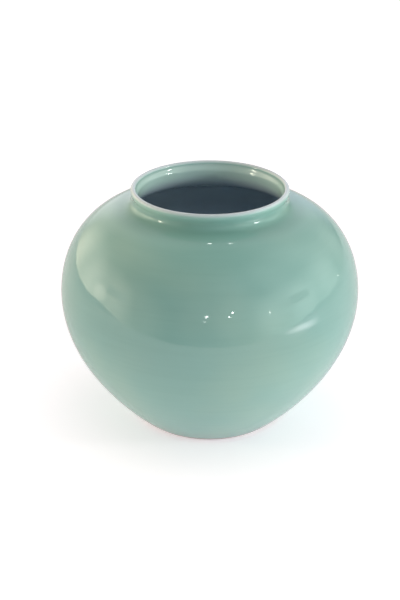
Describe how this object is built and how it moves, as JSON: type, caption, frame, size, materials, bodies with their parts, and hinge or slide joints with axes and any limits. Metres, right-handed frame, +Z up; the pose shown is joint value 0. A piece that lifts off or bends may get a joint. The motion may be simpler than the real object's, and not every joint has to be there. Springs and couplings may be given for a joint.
{
  "type": "porcelain vase",
  "caption": "Round wide-bellied porcelain vase with pale green celadon glaze, a low collar, a rounded pale lip and a narrow bare foot ring.",
  "frame": {"origin": "centre of the circle on which the foot ring stands, at the bottom of the vase", "axes": "+Z up along the vase's turning axis; the vase is round, so +X and +Y are any two level directions, with the view of the front along +Y"},
  "size_m": [0.23, 0.23, 0.187],
  "materials": {
    "porcelain_paste": "fired porcelain paste, under glaze",
    "bare_foot": "bare fired porcelain, matt, slightly sandy",
    "celadon_glaze": "glossy pale green celadon glaze",
    "lip_glaze": "thin glossy celadon over white paste, almost colourless",
    "liner_glaze": "glossy celadon liner glaze",
    "base_glaze": "glossy celadon glaze"
  },
  "bodies": {
    "root": {"foot_ring": "bare_foot", "lower_body": "porcelain_paste", "upper_body": "porcelain_paste", "neck_collar": "porcelain_paste", "outer_glaze": "celadon_glaze", "lip_glaze": "lip_glaze", "inner_glaze": "liner_glaze", "base_glaze": "base_glaze"}
  },
  "joints": []
}
